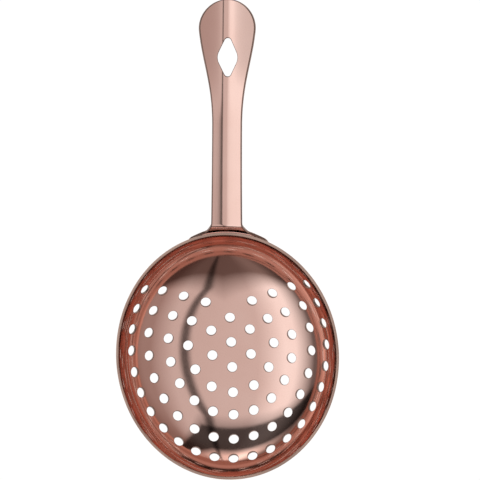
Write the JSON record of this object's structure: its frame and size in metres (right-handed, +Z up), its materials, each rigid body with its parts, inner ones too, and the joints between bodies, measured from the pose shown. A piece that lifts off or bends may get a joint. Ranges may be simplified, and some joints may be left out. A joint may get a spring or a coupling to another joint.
{
  "type": "julep strainer",
  "caption": "Polished copper julep strainer: an oval perforated bowl with a long channel-section handle that has a teardrop end and an eye-shaped hanging hole.",
  "frame": {"origin": "middle of the bounding box in X and Y, level with the underside of the bowl", "axes": "+Y along the handle from the bowl to the tip, +Z up out of the open bowl, +X to the right of the handle seen from above with the handle pointing away"},
  "size_m": [0.0766, 0.165, 0.025],
  "materials": {
    "copper": "polished",
    "weld_metal": "satin"
  },
  "bodies": {
    "root": {"bowl": "copper", "handle": "copper", "weld_spot_left": "weld_metal", "weld_spot_right": "weld_metal"}
  },
  "joints": []
}
